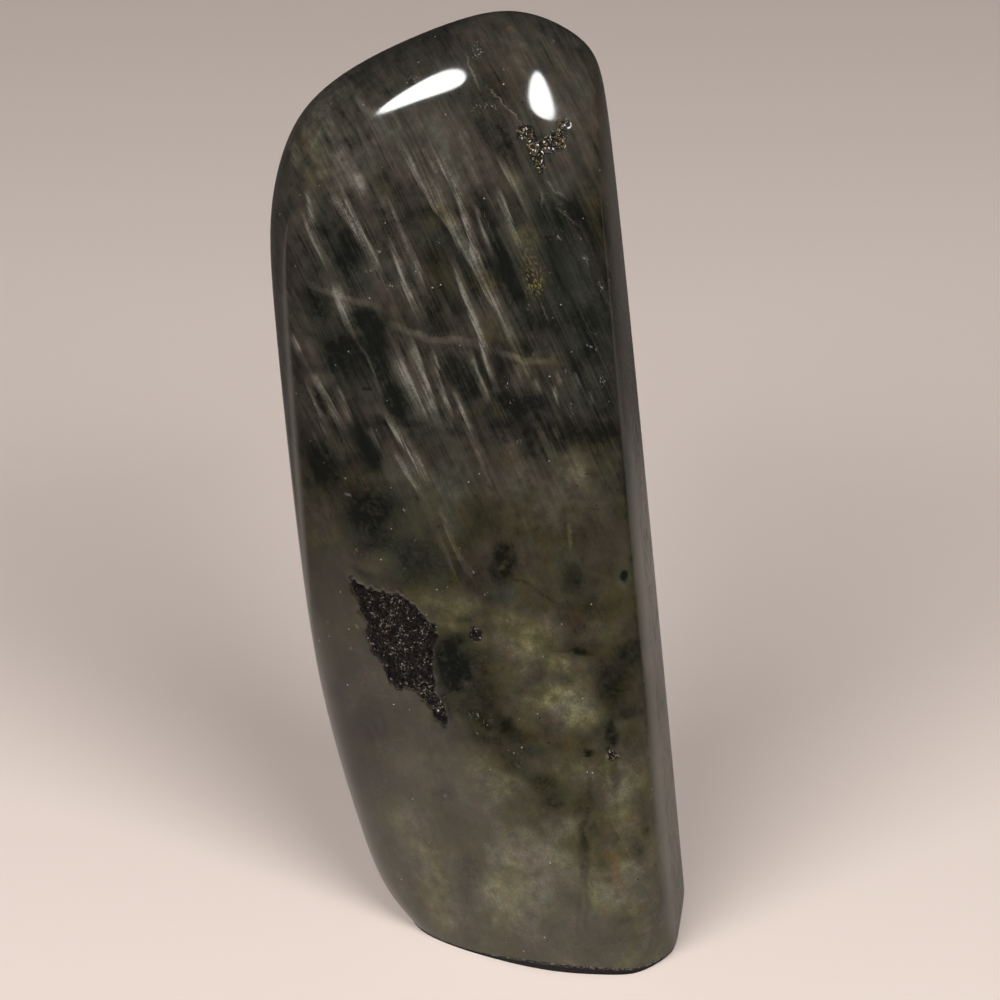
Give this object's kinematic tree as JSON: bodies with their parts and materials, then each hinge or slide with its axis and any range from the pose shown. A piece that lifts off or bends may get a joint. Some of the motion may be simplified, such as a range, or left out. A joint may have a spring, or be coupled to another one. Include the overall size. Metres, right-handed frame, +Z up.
{
  "type": "polished labradorite freeform",
  "caption": "Upright polished labradorite freeform: a dark, slightly leaning slab of stone with rounded edges, on a foot sawn flat.",
  "frame": {"origin": "on the sawn foot, under the middle of the stone's bounding box", "axes": "+Z up along the height, +X to the viewer's right along the width, the broad front face looks along -Y"},
  "size_m": [0.0839, 0.0467, 0.1953],
  "materials": {
    "stone": "polished"
  },
  "bodies": {
    "root": {"stone": "stone"}
  },
  "joints": []
}
